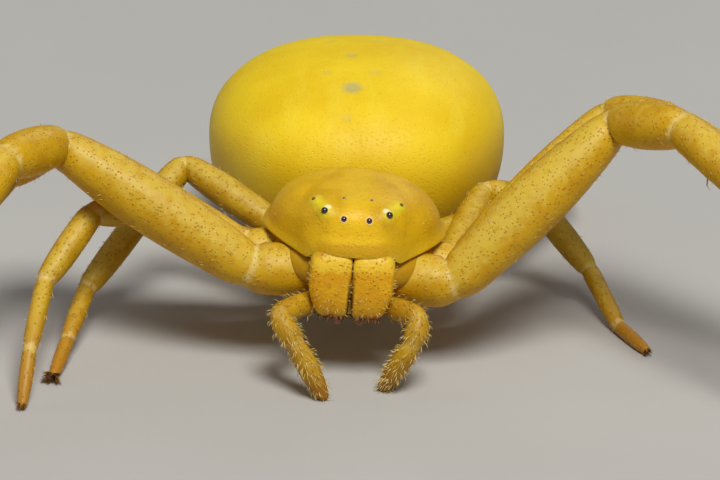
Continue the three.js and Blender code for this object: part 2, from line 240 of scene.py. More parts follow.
# %% A wire and a finish
class Wire:
    """An output socket that takes part in sums."""

    def __init__(self, finish, socket):
        self.finish = finish
        self.socket = socket

    def maths(self, operation, other):
        return self.finish.node("ShaderNodeMath", {"operation": operation}, {0: self, 1: other})

    def __add__(self, other):
        return self.maths("ADD", other)

    def __sub__(self, other):
        return self.maths("SUBTRACT", other)

    def __mul__(self, other):
        return self.maths("MULTIPLY", other)

    __radd__ = __add__


class Finish:
    """A material on one glossy shader, with its pattern in the object's own millimetres."""

    def __init__(self, name, roughness=0.45, **constants):
        self.material = bpy.data.materials.new(name)
        self.material.use_nodes = True
        self.tree = self.material.node_tree
        self.shader = self.tree.nodes["Principled BSDF"]
        self.shader.inputs["Roughness"].default_value = roughness
        for socket, value in constants.items():
            self.shader.inputs[socket.replace("_", " ")].default_value = value
        place = self.node("ShaderNodeTexCoord", out="Object")
        self.place = self.node("ShaderNodeVectorMath", {"operation": "SCALE"}, {0: place, "Scale": 1 / METRE})

    def node(self, kind, settings=None, sockets=None, out=0):
        made = self.tree.nodes.new(kind)
        for key, value in (settings or {}).items():
            setattr(made, key, value)
        for key, value in (sockets or {}).items():
            if isinstance(value, Wire):
                self.tree.links.new(value.socket, made.inputs[key])
            else:
                made.inputs[key].default_value = value
        return Wire(self, made.outputs[out])

    def noise(self, scale, detail=2.0, stretch=(1, 1, 1)):
        place = self.node("ShaderNodeMapping", {}, {"Vector": self.place, "Scale": stretch})
        return self.node("ShaderNodeTexNoise", {}, {"Vector": place, "Scale": scale, "Detail": detail})

    def cells(self, scale):
        """The distance to the middle of the nearest of many small cells."""
        return self.node("ShaderNodeTexVoronoi", {}, {"Vector": self.place, "Scale": scale}, "Distance")

    def rise(self, value, low, high):
        """0 below low, 1 above high, and smooth between them."""
        settings = {"interpolation_type": "SMOOTHSTEP"}
        return self.node("ShaderNodeMapRange", settings, {"Value": value, "From Min": low, "From Max": high})

    def blend(self, share, first, second):
        first = first if isinstance(first, Wire) else (*first, 1)
        second = second if isinstance(second, Wire) else (*second, 1)
        return self.node("ShaderNodeMix", {"data_type": "RGBA"}, {0: share, 6: first, 7: second}, 2)

    def far_from(self, point):
        """The distance to a point of the spider's axes, in millimetres."""
        ends = {0: self.place, 1: (TO_FRAME @ Vector(point)) / METRE}
        return self.node("ShaderNodeVectorMath", {"operation": "DISTANCE"}, ends, "Value")

    def stored(self, name):
        return self.node("ShaderNodeAttribute", {"attribute_name": name}, out="Fac")

    def axis(self, letter):
        return self.node("ShaderNodeSeparateXYZ", {}, {0: self.place}, letter)

    def off_middle(self):
        """The distance from the plane that parts the leaning body's left from its right."""
        across = self.axis("X") - shift.x - (self.axis("Z") - ROLL_HEIGHT) * math.tan(BODY_ROLL)
        return self.node("ShaderNodeMath", {"operation": "ABSOLUTE"}, {0: across})

    def wear(self, colour, roughness=None, bump=None, depth=0.02):
        """Connects the colour, the roughness and the relief, whose depth is in millimetres."""
        self.tree.links.new(colour.socket, self.shader.inputs["Base Color"])
        if roughness is not None:
            self.tree.links.new(roughness.socket, self.shader.inputs["Roughness"])
        if bump is not None:
            relief = self.node("ShaderNodeBump", {}, {"Height": bump, "Distance": depth * METRE}, "Normal")
            self.tree.links.new(relief.socket, self.shader.inputs["Normal"])
        return self.material


# %% Floor
FLOOR_HALF = 1.5  # metres


def make_floor():
    finish = Finish("floor_paper", 0.7)
    tone = finish.blend(finish.noise(0.15, 3), (0.45, 0.445, 0.43), (0.49, 0.485, 0.47))
    finish.wear(tone, bump=finish.noise(2.5, 4), depth=0.004)
    bm = bmesh.new()
    bmesh.ops.create_grid(bm, x_segments=4, y_segments=4, size=FLOOR_HALF)
    mesh = bpy.data.meshes.new("floor")
    bm.to_mesh(mesh)
    bm.free()
    mesh.materials.append(finish.material)
    floor = put("floor", mesh)


make_floor()
world = bpy.data.worlds.new("studio")
world.use_nodes = True
sky = world.node_tree.nodes["Background"].inputs
sky["Color"].default_value = (0.8, 0.82, 0.85, 1)
sky["Strength"].default_value = 0.15
bpy.context.scene.world = world

# %% [markdown]
# ## A tube from rings
# A leg could be a stretched cylinder for each length, but the ends would show as cuts. Here the
# whole leg is one tube. It starts as one circle, whose edge is extruded again and again, and
# each new ring is moved by a matrix to its next place. The path turns its corners on short
# curves, and the radius narrows at each joint, as a real leg does at its soft skin. Each point
# also keeps five numbers that the finishes and the hairs read later: how far along it lies, how
# far to the side and to the back of the limb, how far it faces the front, and how near it is to a
# joint.

# %% Tube helpers
STORED = ("along", "side", "back", "front", "joint")


def ring_place(middle, direction, radius):
    """The matrix that puts a unit circle round a path, with its own Y towards the limb's back."""
    way = direction.normalized()
    back = (UP - UP.dot(way) * way).normalized()
    side = back.cross(way)
    place = Matrix((side * radius, back * radius, way)).transposed().to_4x4()
    place.translation = middle
    return place


def layers_of(bm):
    return {name: bm.verts.layers.float.get(name) or bm.verts.layers.float.new(name) for name in STORED}


def mark_ring(layers, ring, place, along, joint):
    """Stores the five numbers on one ring, from where its points lie in the ring's own plane."""
    back_to_unit = place.inverted()
    for vert in ring:
        local = back_to_unit @ vert.co
        vert[layers["along"]] = along
        vert[layers["side"]] = local.x
        vert[layers["back"]] = local.y
        vert[layers["front"]] = -(place.to_3x3() @ local).normalized().y
        vert[layers["joint"]] = joint


def make_tube(bm, stops, sides):
    """Rings through stops, each a matrix, a share of the length and a nearness to a joint."""
    layers = layers_of(bm)
    ring = bmesh.ops.create_circle(bm, segments=sides, radius=1, matrix=stops[0][0])["verts"]
    edges = list({edge for vert in ring for edge in vert.link_edges})
    bmesh.ops.contextual_create(bm, geom=edges)
    mark_ring(layers, ring, *stops[0])
    for (here, _, _), stop in zip(stops, stops[1:]):
        grown = bmesh.ops.extrude_edge_only(bm, edges=edges)["geom"]
        ring = [item for item in grown if isinstance(item, bmesh.types.BMVert)]
        inside = set(ring)
        edges = [e for e in grown if isinstance(e, bmesh.types.BMEdge) and inside.issuperset(e.verts)]
        bmesh.ops.transform(bm, matrix=stop[0] @ here.inverted(), verts=ring)
        mark_ring(layers, ring, *stop)
    bmesh.ops.contextual_create(bm, geom=edges)


PINCH = 0.13  # share of the radius that a joint takes away
PINCH_REACH = 0.1
SKIN_REACH = 0.13
STEP = 0.26
FULLNESS = 1.8  # a parabola has 2
BEND_SIZE = 0.8  # a path turns within this share of its radius
BEND_MOST = 0.4  # and within this share of either length
BEND_STEPS = (0.25, 0.5, 0.75)
END_STEPS = 3
END_OPENING = 0.35  # of a step: how far the last ring of a round end is from its tip
FLOOR_SKIN = 0.002  # nothing reaches lower, so that the feet rest on small flats


def thickness(radii, t):
    """Like the three radii, without the overshoot of a parabola."""
    first, middle, last = radii
    near = first if t < 0.5 else last
    share = abs(2 * t - 1)
    return middle + (near - middle) * share ** FULLNESS


def walk(spots, radii, pinch=PINCH):
    """Every stop along a chain of joints: place, direction, radius, share, nearness to a joint."""
    lengths = [(b - a).length for a, b in zip(spots, spots[1:])]
    ways = [(b - a).normalized() for a, b in zip(spots, spots[1:])]
    total = sum(lengths)
    windows = [0.0]
    for i in range(1, len(ways)):
        windows.append(min(BEND_SIZE * radii[i][0], BEND_MOST * lengths[i - 1], BEND_MOST * lengths[i]))
    windows.append(0.0)
    stops = []

    def add(place, way, part, distance):
        share = min(max(distance / lengths[part], 0), 1)
        before = abs(distance) if part > 0 else total
        after = abs(lengths[part] - distance) if part < len(ways) - 1 else total
        near = min(before, after)
        radius = thickness(radii[part], share) * (1 - pinch * math.exp(-((near / PINCH_REACH) ** 2)))
        along = (sum(lengths[:part]) + distance) / total
        stops.append((place, way, radius, along, math.exp(-((near / SKIN_REACH) ** 2)), part))

    for part, (start, way, length) in enumerate(zip(spots, ways, lengths)):
        first, last = windows[part], length - windows[part + 1]
        count = max(2, round((last - first) / STEP))
        for i in range(count + 1):
            distance = first + (last - first) * i / count
            add(start + way * distance, way, part, distance)
        if part + 1 < len(ways):
            corner, reach = spots[part + 1], windows[part + 1]
            a, b = corner - way * reach, corner + ways[part + 1] * reach
            for t in BEND_STEPS:
                place = a * (1 - t) ** 2 + corner * (2 * t * (1 - t)) + b * t ** 2
                turned = way.lerp(ways[part + 1], t)
                if t < 0.5:
                    add(place, turned, part, length - reach * (1 - 2 * t))
                else:
                    add(place, turned, part + 1, reach * (2 * t - 1))
    return stops


def rounded_end(stop, sign):
    """Extra stops that close a tube with a round end, before its first or after its last stop."""
    place, way, radius, along, joint, part = stop
    extra = []
    for i in range(1, END_STEPS + 1):
        angle = math.pi / 2 * i / (END_STEPS + END_OPENING)
        beyond = place + way.normalized() * (sign * radius * math.sin(angle))
        extra.append((beyond, way, radius * math.cos(angle), along, joint, part))
    return extra if sign > 0 else extra[::-1]


def tube_stops(stops):
    """The matrices of a walk, its ends closed."""
    whole = rounded_end(stops[0], -1) + stops + rounded_end(stops[-1], 1)
    return [(ring_place(place, way, radius), along, joint) for place, way, radius, along, joint, _ in whole]


# %% From a shape to a piece
def piece_of(name, mesh, material, slot, *nodes):
    """A mesh as a piece of the spider, which may stand for some nodes."""
    mesh.materials.append(material)
    mesh.shade_smooth()
    made = put(name, mesh)
    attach(made, "root")
    if nodes:
        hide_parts(*nodes)
    return made


def finished(name, bm, material, slot, *nodes, levels=1):
    """A modelled shape, carried over into the frame as a piece and made finer there."""
    for vert in bm.verts:
        vert.co.z = max(vert.co.z, FLOOR_SKIN)
    bmesh.ops.recalc_face_normals(bm, faces=bm.faces)
    bmesh.ops.transform(bm, matrix=TO_FRAME, verts=bm.verts)
    mesh = bpy.data.meshes.new(name)
    bm.to_mesh(mesh)
    bm.free()
    made = piece_of(name, mesh, material, slot, *nodes)
    if levels:
        finer = made.modifiers.new("finer", "SUBSURF")
        finer.levels = levels
        finer.render_levels = levels
    return made


def tube_piece(name, stops, sides, material, slot, *nodes):
    bm = bmesh.new()
    make_tube(bm, tube_stops(stops), sides)
    return finished(name, bm, material, slot, *nodes)


# %% [markdown]
# ## The finish of the legs
# The shell of the legs is a thin yellow horn that light passes into. Its colour could be painted,
# but bands that follow the limb are simpler from the numbers stored on it: a painted highlight,
# pale and streaked, where the leg looks up and forwards towards the light over the face, a warm
# orange below, and brown towards the tip. The many fine dark dots stand for the sockets of hairs.
# They are the middles of small cells, and the same cells lift the shell round each dot.

# %% Shell finishes
SOFT_SHELL = {"Subsurface_Weight": 0.2, "Subsurface_Radius": (1.0, 0.6, 0.08),
              "Subsurface_Scale": 0.0003, "Coat_Weight": 0.06, "Coat_Roughness": 0.32,
              "Specular_IOR_Level": 0.26}
# the colour of the painted highlight on the upper and front side of the legs
PAINTED_HIGHLIGHT_BAND = (0.70, 0.53, 0.08)
SOCKET = (0.24, 0.10, 0.002)
JOINT_SKIN = (0.80, 0.62, 0.22)


def leg_finish(name, deep, light, under, tip, band, dots):
    finish = Finish(name, **SOFT_SHELL)
    colour = finish.blend(finish.rise(finish.noise(1.8, 3), 0.38, 0.62), deep, light)
    # Painted highlight: a pale streaked band where the limb faces up and forwards, towards the light over the
    # face
    upwards = finish.stored("back") * 0.72 + finish.stored("front") * 0.55
    streaks = (finish.noise(6.5, 3) - 0.5) * 0.8
    pale = finish.rise(upwards + streaks, 0.55, 1.05)
    colour = finish.blend(pale * band, colour, PAINTED_HIGHLIGHT_BAND)
    warm = finish.rise(upwards + streaks * 0.4, 0.1, -0.7)
    colour = finish.blend(warm * 0.8, colour, under)
    colour = finish.blend(finish.rise(finish.stored("along"), 0.7, 1.0) * 0.85, colour, tip)
    skin = finish.rise(finish.stored("joint") + (finish.noise(7.0, 3) - 0.5) * 1.2, 0.5, 1.1)
    colour = finish.blend(skin * finish.rise(upwards, -0.6, 0.5) * band, colour, JOINT_SKIN)
    cells = finish.cells(dots)
    colour = finish.blend(finish.rise(cells, 0.28, 0.17) * 0.42, colour, SOCKET)
    roughness = 0.38 + finish.noise(9.0) * 0.16
    relief = finish.rise(cells, 0.32, 0.05) + finish.noise(20.0, 3) * 0.5
    return finish.wear(colour, roughness, relief, 0.012)


front_leg = leg_finish("shell_front_leg", (0.54, 0.285, 0.002), (0.60, 0.345, 0.004), (0.76, 0.34, 0.001),
                       (0.50, 0.23, 0.01), 0.65, 14.0)
hind_leg = leg_finish("shell_hind_leg", (0.44, 0.24, 0.003), (0.50, 0.30, 0.006), (0.50, 0.20, 0.001),
                      (0.42, 0.18, 0.012), 0.55, 12.0)

# %% [markdown]
# ## Eight legs
# Each leg is walked from the coxa under the carapace to the tip on the floor. The pose gives
# the direction of each length, and the last one drops until its tip rests.


# %% Legs
def leg_spots(side, pair):
    """The joints of a leg, from inside the body to the tip on the floor."""
    sign = SIDES[side]
    sizes = LEGS[pair]
    x, y, z = sizes["root"]
    spots = [leaned(sign * x, y, z)]
    for length, angles in zip(sizes["lengths"], POSE[side][pair]):
        azimuth = math.radians(angles[0])
        if len(angles) > 1:
            rise = math.radians(angles[1])
        else:
            rise = math.asin((TIP_HEIGHT - spots[-1].z) / length)
        level = math.cos(rise)
        step = Vector((sign * level * math.cos(azimuth), -level * math.sin(azimuth), math.sin(rise)))
        spots.append(spots[-1] + step * length)
    x, y, z = sizes["inner"]
    return [leaned(sign * x, y, z)] + spots


leg_walks = {}
leg_skins = {}
for side in SIDES:
    for pair, sizes in LEGS.items():
        name = f"leg_{side}_{pair}"
        leg_walks[name] = walk(leg_spots(side, pair), sizes["radii"])
        nodes = [f"{name}_{part}" for part in LEG_NODES]
        material = front_leg if name.endswith(FRONT_PAIRS) else hind_leg
        leg_skins[name] = tube_piece(f"{name}_shell", leg_walks[name], 20, material, "leg", *nodes)
print("legs:", len(leg_skins), "faces in the first:", len(leg_skins["leg_left_1"].data.polygons))

# %% [markdown]
# ## The head and its carapace
# The carapace is one domed shield: narrow and steep at the face, wide over the legs. A sphere
# has its rings in the right places, so each of its points is moved to the shield's surface. Its
# poles lie on the spider's long axis, where the rings close at the face. Then the details are
# pressed in or pushed out of the same surface: two shallow grooves that part the head from the
# chest, with a pit behind them, the lower edge, which stands forward over the jaws and dips
# beside them, and a low mound under each eye. The mounds need to know where the surface is, so a
# ray is sent to it through the place of each eye.

# %% Form helpers
def mix(first, second, share):
    return first + (second - first) * share


def squared(point, power, side_power=None):
    """A point of a unit ball moved out to a squarer ball, with its own power seen from the side."""
    side_power = side_power or power
    side = (abs(point.y) ** side_power + abs(point.z) ** side_power) ** (power / side_power)
    return point * (abs(point.x) ** power + side) ** (-1 / power)


def smooth_step(value, low, high):
    t = min(max((value - low) / (high - low), 0), 1)
    return t * t * (3 - 2 * t)


def soft_most(first, second, softness):
    """The larger of two values, with a rounded crossing."""
    return (first + second + math.hypot(first - second, softness)) / 2


def off_line(point, start, end):
    """How far a point lies from a straight line between two others, or from their one place."""
    way = end - start
    share = (point - start).dot(way) / max(way.length_squared, 1e-9)
    return (point - start - way * min(max(share, 0), 1)).length


def swell(verts, start, end, facing, height, reach):
    """Raises a soft ridge between two places. A negative height presses a hollow."""
    for vert in verts:
        off = off_line(vert.co, start, end)
        if off < 3 * reach:
            vert.co += facing * (height * math.exp(-((off / reach) ** 2)))


def make_ball(bm, around, rings, place):
    """A sphere with its poles along Y, each of its points placed by a function of the unit ball."""
    layers = layers_of(bm)
    turn = Matrix.Rotation(math.pi / 2, 4, "X")
    made = bmesh.ops.create_uvsphere(bm, u_segments=around, v_segments=rings, radius=1, matrix=turn)
    for vert in made["verts"]:
        unit = vert.co.copy()
        vert[layers["along"]] = math.acos(max(-1, min(1, -unit.y))) / math.pi
        vert[layers["side"]] = unit.x
        vert[layers["back"]] = unit.z
        vert[layers["front"]] = -unit.y
        vert.co = place(unit)
    return made["verts"]


def ball_piece(name, around, rings, place, material, slot, *nodes):
    bm = bmesh.new()
    make_ball(bm, around, rings, place)
    return finished(name, bm, material, slot, *nodes)


# %% Carapace form
# Each groove: its two ends from above, and how wide it reaches
GROOVES = [(Vector((sign * 1.0, 0.95)), Vector((sign * 0.28, 2.15)), 0.13) for sign in SIDES.values()]
GROOVES.append((Vector((0, 2.3)), Vector((0, 2.6)), 0.2))
GROOVE_DEPTH = 0.02
GROOVE_LEVEL = 0.2  # the grooves lie above this share of the dome
EDGE_SOFTNESS = 0.06
MARGIN_FLARE = 0.035  # share by which the shield widens at its lower edge
MARGIN_REACH = 0.12
CLYPEUS = 0.1  # how far the lower face stands forward
CLYPEUS_TOP = 3.05
CLYPEUS_HEIGHT = 0.4


def rim_height(x, y):
    """The lower edge of the shield: above the jaws, low at their sides, and up along the body."""
    c = CARAPACE
    side = mix(c["rim_corner"], c["rim_side"], smooth_step(y, 0.3, 1.5))
    return mix(c["rim_face"], side, smooth_step(abs(x), 0.68, 0.92))


def carapace_point(unit):
    c = CARAPACE
    power = mix(c["head_power"], c["power"], smooth_step(unit.y, -0.5, 0.4))
    brow = mix(c["brow_power"], power, smooth_step(unit.y, -0.5, 0)) if unit.z > 0 else power
    p = squared(unit, power, brow)
    share = (p.y + 1) / 2
    width = mix(c["head"], c["half"], smooth_step(share, 0, 0.5))
    dome = c["dome"] * (1 - c["rear_drop"] * smooth_step(share, 0.5, 1))
    height = c["middle"] + (dome if p.z > 0 else c["skirt"]) * p.z
    spot = Vector((width * p.x, c["front"] + c["length"] * share, height))
    if p.z > GROOVE_LEVEL:
        for start, end, reach in GROOVES:
            spot.z -= GROOVE_DEPTH * math.exp(-((off_line(spot.xy, start, end) / reach) ** 2))
    edge = rim_height(spot.x, spot.y)
    if unit.z > -0.5:
        near_edge = math.exp(-(((spot.z - edge) / MARGIN_REACH) ** 2))
        spot.x *= 1 + MARGIN_FLARE * near_edge * smooth_step(spot.y, 0.05, 0.9)
    spot.z = soft_most(spot.z, edge, EDGE_SOFTNESS)
    low = smooth_step(CLYPEUS_TOP - spot.z, 0, CLYPEUS_HEIGHT)
    spot.y -= CLYPEUS * low * (1 - smooth_step(spot.y, 0.1, 0.7))
    return LEAN @ spot


bm = bmesh.new()
carapace_verts = make_ball(bm, 144, 104, carapace_point)
carapace_tree = BVHTree.FromBMesh(bm)

# %% Places and mounds of the eyes
RIDGE = {"height": 0.045, "reach": 0.11}  # it joins the two eyes of one side
RIDGE_AT_EYE = 0.8  # share of its height that lifts each of them

eye_spots = {}
for eye_name, eye in EYES.items():
    for side, sign in SIDES.items():
        x, y, z = eye["at"]
        place, facing, _, _ = carapace_tree.ray_cast(leaned(sign * x, y, z) - ahead, ahead)
        facing = facing if facing.dot(ahead) < 0 else -facing
        eye_spots[eye_name, side] = (place, facing)
        print(eye_name, side, [round(value, 2) for value in (*place, *facing)])
for (eye_name, side), (place, facing) in eye_spots.items():
    swell(carapace_verts, place, place, facing, EYES[eye_name]["height"], EYES[eye_name]["reach"])
for side in SIDES:
    (front, front_facing), (rear, rear_facing) = eye_spots["front_side", side], eye_spots["rear_side", side]
    swell(carapace_verts, front, rear, (front_facing + rear_facing).normalized(), **RIDGE)


# %% Carapace finish
def carapace_finish():
    finish = Finish("shell_carapace", **SOFT_SHELL)
    patches = finish.rise(finish.noise(1.7, 4), 0.36, 0.64)
    colour = finish.blend(patches, (0.63, 0.36, 0.003), (0.73, 0.44, 0.006))
    height = finish.axis("Z")
    colour = finish.blend(finish.rise(height, 2.35, 1.9) * 0.6, colour, (0.60, 0.30, 0.002))
    band = finish.rise(finish.off_middle() + (finish.noise(3.0) - 0.5) * 0.2, 0.4, 0.1)
    colour = finish.blend(band * finish.rise(height, 2.8, 3.1) * 0.6, colour, (0.80, 0.52, 0.011))
    face = finish.rise(finish.far_from(leaned(0, 0, 2.98)), 0.66, 0.36)
    colour = finish.blend(face * 0.85, colour, (0.88, 0.54, 0.01))
    margin = finish.rise(height + (finish.noise(4.0) - 0.5) * 0.1, 2.78, 2.6)
    colour = finish.blend(margin * 0.6, colour, (0.72, 0.48, 0.014))
    # Painted shadow: darker under the lower edge of the face, just above the jaws
    painted_shadow_below_face = finish.rise(finish.far_from(leaned(0, 0, 2.6)), 0.85, 0.6)
    colour = finish.blend(painted_shadow_below_face * finish.rise(height, 2.92, 2.82) * 0.7, colour, (0.54, 0.28, 0.003))
    for side, sign in SIDES.items():
        front, rear = (eye_spots[eye_name, side][0] for eye_name in ("front_side", "rear_side"))
        for share in (0, 0.5, 1):
            near = finish.rise(finish.far_from(front.lerp(rear, share)), 0.2, 0.08)
            colour = finish.blend(near * 0.55, colour, (0.80, 0.72, 0.03))
        shine = finish.rise(finish.far_from(front + Vector((-0.035 * sign, 0.02, 0.11))), 0.1, 0.03)
        colour = finish.blend(shine * 0.85, colour, (0.93, 0.90, 0.5))
    for (eye_name, side), (place, _) in eye_spots.items():
        shows = EYES[eye_name]["shows"]
        ring = finish.rise(finish.far_from(place), shows * 2.0, shows * 1.45)
        colour = finish.blend(ring * 0.6, colour, (0.88, 0.62, 0.36))
    pores = finish.cells(14)
    colour = finish.blend(finish.rise(pores, 0.22, 0.06) * 0.3, colour, (0.34, 0.16, 0.002))
    relief = finish.rise(pores, 0.3, 0.05) * 0.4 + finish.noise(18, 3)
    return finish.wear(colour, 0.38 + finish.noise(7.0) * 0.14, relief, 0.016)


carapace_material = carapace_finish()
carapace = finished("carapace_shell", bm, carapace_material, "carapace", "carapace")

# %% [markdown]
# ## The breastplate and the flanks
# Under the body, between the legs, lies a flat shield, the breastplate. It is another squared
# ball, sunk a little into the carapace so that no gap shows between them. A third one, wide and
# low, is the soft skin of the flanks. It fills the space from the edge of the carapace to the
# roots of the legs.


# %% Breastplate and flanks
def low_point(unit, sizes):
    p = squared(unit, sizes["power"])
    (x, y, z), (wide, long, high) = sizes["centre"], sizes["half"]
    narrow = 1 - sizes["narrowing"] * smooth_step(p.y, 0, 1)
    return leaned(x + wide * narrow * p.x, y + long * p.y, z + high * p.z)


def flank_finish():
    finish = Finish("skin_flank", **SOFT_SHELL)
    tone = finish.blend(finish.noise(3.0, 3), (0.42, 0.21, 0.002), (0.54, 0.30, 0.004))
    return finish.wear(tone, 0.5 + finish.noise(8.0) * 0.1, finish.noise(9.0, 3), 0.02)


ball_piece("breastplate", 40, 28, lambda unit: low_point(unit, STERNUM), carapace_material,
           "carapace", "sternum")
ball_piece("flanks", 56, 32, lambda unit: low_point(unit, FLANKS), flank_finish(), "carapace")

# %% [markdown]
# ## Eight eyes
# A crab spider's eyes are tiny and glossy, each in a pale mound: the four in front are nearly
# black, and the four behind them are brown. Each is a ball with a clear coat, sunk so deep in its
# mound that only a cap shows, and the light over the face makes a small bright point in it.

# %% Eyes
EYE_BALL = 1.35  # radius of the whole ball, as a share of the cap that shows


def eye_finish(name, dark, light):
    finish = Finish(name, 0.08, Coat_Weight=1.0, Coat_Roughness=0.03)
    tone = finish.blend(finish.rise(finish.noise(14.0, 3), 0.4, 0.65), dark, light)
    return finish.wear(tone, 0.06 + finish.noise(20.0) * 0.06)


eye_materials = {
    "front": eye_finish("eye_glass", (0.010, 0.004, 0.003), (0.045, 0.016, 0.006)),
    "rear": eye_finish("eye_glass_rear", (0.09, 0.03, 0.008), (0.2, 0.08, 0.02)),
}
for (eye_name, side), (place, facing) in eye_spots.items():
    eye = EYES[eye_name]
    radius = EYE_BALL * eye["shows"]
    sunk = math.sqrt(radius ** 2 - eye["shows"] ** 2)
    ridge = RIDGE_AT_EYE * RIDGE["height"] if eye_name.endswith("_side") else 0
    bm = bmesh.new()
    where = Matrix.Translation(place + facing * (eye["height"] + ridge - sunk))
    bmesh.ops.create_uvsphere(bm, u_segments=24, v_segments=16, radius=radius, matrix=where)
    node = f"eye_{eye_name}_{side}"
    finished(f"{node}_glass", bm, eye_materials[eye_name.split("_")[0]], "eye", node, levels=0)

# %% [markdown]
# ## Jaws and fangs
# Two stout blocks hang in front under the face, side by side, with a dark slit between them.
# They are squared balls, a little narrower below, pushed flat where they face each other. A
# small curved fang is folded in under each.

# %% Jaws
SLIT = 0.006  # half the gap between the jaws above
SLIT_OPENS = 0.022  # how much further each jaw lies from the middle below
SLIT_SOFTNESS = 0.02


def jaw_point(unit, sign):
    c = CHELICERA
    p = squared(unit, c["power"], c["side_power"])
    (wide, long, high), (x, y, z) = c["half"], c["centre"]
    taper = 1 - c["taper"] * smooth_step(-p.z, 0, 1)
    slit = SLIT + SLIT_OPENS * smooth_step(-p.z, 0.2, 1.1)
    inward = soft_most(taper * (x + sign * wide * p.x), slit, SLIT_SOFTNESS)
    return leaned(sign * inward, y + long * taper * p.y, z + high * p.z)


def jaw_finish():
    finish = Finish("shell_jaw", **SOFT_SHELL)
    patches = finish.noise(2.4, 3)
    colour = finish.blend(finish.rise(patches, 0.4, 0.62), (0.72, 0.35, 0.003), (0.82, 0.46, 0.006))
    height = finish.axis("Z") + (finish.noise(5.0, 3) - 0.5) * 0.25
    # Painted highlight: a pale band across the upper front of each jaw
    colour = finish.blend(finish.rise(height, 2.28, 2.44) * 0.8, colour, (0.84, 0.56, 0.035))
    # Painted shadow: darker at the very top of each jaw, under the edge of the face
    colour = finish.blend(finish.rise(height, 2.58, 2.68) * 0.9, colour, (0.50, 0.26, 0.003))
    colour = finish.blend(finish.rise(height, 1.5, 1.3) * 0.9, colour, (0.38, 0.09, 0.006))
    belly = finish.rise(height, 2.1, 1.6) * finish.rise(height, 1.35, 1.55)
    colour = finish.blend(belly * 0.6, colour, (0.92, 0.48, 0.004))
    # Painted shade: darker near the middle, where the two jaws face each other across the slit
    slit = finish.rise(finish.off_middle(), 0.085, 0.04) * finish.rise(height, 2.5, 1.8)
    colour = finish.blend(slit * 0.9, colour, (0.12, 0.03, 0.002))
    pores = finish.cells(11)
    colour = finish.blend(finish.rise(pores, 0.2, 0.06) * 0.45, colour, (0.3, 0.1, 0.004))
    relief = finish.rise(pores, 0.3, 0.05) + finish.noise(16, 3)
    return finish.wear(colour, 0.34 + finish.noise(8.0) * 0.16, relief, 0.018)


jaw_material = jaw_finish()
jaws = {}
for side, sign in SIDES.items():
    jaws[side] = ball_piece(f"jaw_{side}", 48, 40, lambda unit: jaw_point(unit, sign), jaw_material,
                            "chelicera", f"chelicera_{side}")

# %% Fangs
FANG_SPOTS = ((0.3, 0.2, 1.42), (0.27, 0.1, 1.3), (0.2, 0.12, 1.2), (0.12, 0.2, 1.17))
FANG_RADII = ((0.1, 0.095, 0.085), (0.085, 0.07, 0.055), (0.055, 0.035, 0.012))


def fang_finish():
    finish = Finish("fang_horn", 0.2, Coat_Weight=0.5)
    tone = finish.blend(finish.noise(9.0), (0.16, 0.035, 0.006), (0.3, 0.08, 0.012))
    return finish.wear(tone, 0.18 + finish.noise(12.0) * 0.1)


fang_material = fang_finish()
for side, sign in SIDES.items():
    spots = [leaned(sign * x, y, z) for x, y, z in FANG_SPOTS]
    tube_piece(f"fang_{side}", walk(spots, FANG_RADII, 0), 12, fang_material, "eye")

# %% [markdown]
# ## Palps
# The two palps are short feelers beside the jaws. They are made as legs are, with three lengths
# that can be seen, and are more orange and more hairy.

# %% Palps
palp_material = leg_finish("shell_palp", (0.42, 0.21, 0.003), (0.50, 0.28, 0.006), (0.38, 0.15, 0.002),
                           (0.30, 0.11, 0.008), 0.2, 10.0)
palp_skins = {}
for side, spots in PALPS.items():
    name = f"palp_{side}"
    stops = walk([Vector(spot) for spot in spots], PALP_RADII)
    nodes = [f"feeler_{side}_{part}" for part in ("upper", "lower")]
    palp_skins[name] = tube_piece(f"{name}_shell", stops, 18, palp_material, "leg", *nodes)

# %% [markdown]
# ## The abdomen
# The abdomen is a soft bag, broad, a little flattened above and round below. Its skin is matte
# and bright lemon yellow, with very fine pores and a few small grey dimples along the back, some
# in pairs, where muscles pull on it inside. The dimples are pressed into the mesh, and the same
# places tell the finish where to turn grey. The pores are made in the finish alone.

# %% Abdomen form
# Each dimple: across, along, radius, depth and how grey it is
DIMPLES = (
    (-0.12, 5.56, 0.16, 0.05, 0.75),
    (-0.16, 6.95, 0.11, 0.03, 0.4),
    (-0.2, 4.76, 0.1, 0.03, 0.2),
    (-0.62, 6.15, 0.1, 0.03, 0.2), (0.34, 6.15, 0.1, 0.03, 0.2),
    (-0.6, 7.9, 0.1, 0.03, 0.25), (0.34, 7.9, 0.1, 0.03, 0.25),
)
ABOVE_ALL = 9  # a height above the whole spider
FLOOR_SOFTNESS = 0.02
# The low folds across the rear end
FOLD_HEIGHT = 0.012
FOLD_PITCH = 7.5
FOLD_WAVE = 1.3
FOLD_WAVE_PITCH = 1.7
FOLD_REACH = (7.2, 9.3)  # where they start, and where they are as high as they get


def abdomen_point(unit):
    a = ABDOMEN
    p = squared(unit, a["power"])
    share = (p.y + 1) / 2
    width = a["half"] * mix(a["shoulder"], 1, smooth_step(share, 0.1, 0.6))
    height = a["middle"] + (a["rise"] if p.z > 0 else a["drop"]) * p.z
    spot = Vector((width * p.x, a["front"] + a["length"] * share, height))
    wave = FOLD_WAVE * math.sin(spot.x * FOLD_WAVE_PITCH)
    folds = math.sin(spot.y * FOLD_PITCH + wave) * smooth_step(spot.y, *FOLD_REACH)
    spot += FOLD_HEIGHT * folds * Vector((unit.x, 0, unit.z))
    at = ROLL @ spot
    at.z = soft_most(at.z, FLOOR_SKIN, FLOOR_SOFTNESS)
    return at


bm = bmesh.new()
abdomen_verts = make_ball(bm, 128, 96, abdomen_point)
abdomen_tree = BVHTree.FromBMesh(bm)
dimple_spots = []
for x, y, radius, depth, grey in DIMPLES:
    place, facing, _, _ = abdomen_tree.ray_cast(Vector((x, y, ABOVE_ALL)), -UP)
    facing = facing if facing.z > 0 else -facing
    swell(abdomen_verts, place, place, facing, -depth, radius)
    dimple_spots.append((place, radius, grey))


